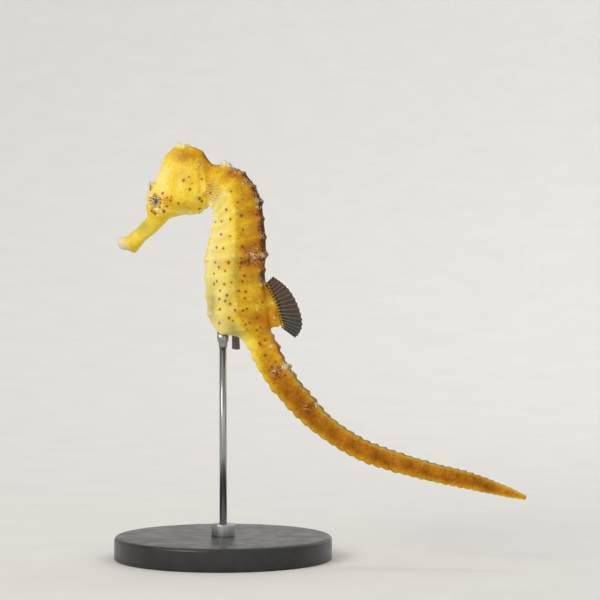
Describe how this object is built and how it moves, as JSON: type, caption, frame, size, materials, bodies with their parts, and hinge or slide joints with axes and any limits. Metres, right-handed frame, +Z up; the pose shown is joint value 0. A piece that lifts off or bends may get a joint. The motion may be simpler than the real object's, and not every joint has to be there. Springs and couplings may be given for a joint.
{
  "type": "seahorse on a display stand",
  "caption": "Life-size still model of an adult spotted seahorse, head bent down and tail stretched out behind, on a slim steel rod and a round base.",
  "frame": {"origin": "centre of the underside of the stand's base", "axes": "+Z up; -X the way the animal faces; Y square to its plane of symmetry, with its left side at -Y"},
  "size_m": [0.0911, 0.048, 0.0915],
  "materials": {
    "skin_pale": "smooth moist skin, pale cream at the lips",
    "skin_yellow": "thin moist skin over bony plates, golden yellow",
    "skin_amber": "thin moist skin over bony plates, amber",
    "coronet": "skin-covered bone, cream",
    "eye": "polished, dark with gold and white flecks",
    "fin": "translucent web with fine rays",
    "base": "satin black",
    "steel": "fine brushed"
  },
  "bodies": {
    "root": {"mouth": "skin_pale", "snout": "skin_yellow", "head": "skin_yellow", "coronet": "coronet", "eye_left": "eye", "eye_right": "eye", "neck": "skin_yellow", "trunk_upper": "skin_yellow", "trunk_middle": "skin_yellow", "trunk_lower": "skin_yellow", "tail_1": "skin_yellow", "tail_2": "skin_amber", "tail_3": "skin_amber", "tail_4": "skin_amber", "tail_5": "skin_amber", "dorsal_fin": "fin", "anal_fin": "fin", "pectoral_fin_left": "fin", "pectoral_fin_right": "fin", "stand_base": "base", "stand_collar": "steel", "stand_rod": "steel", "stand_cradle": "steel"}
  },
  "joints": []
}
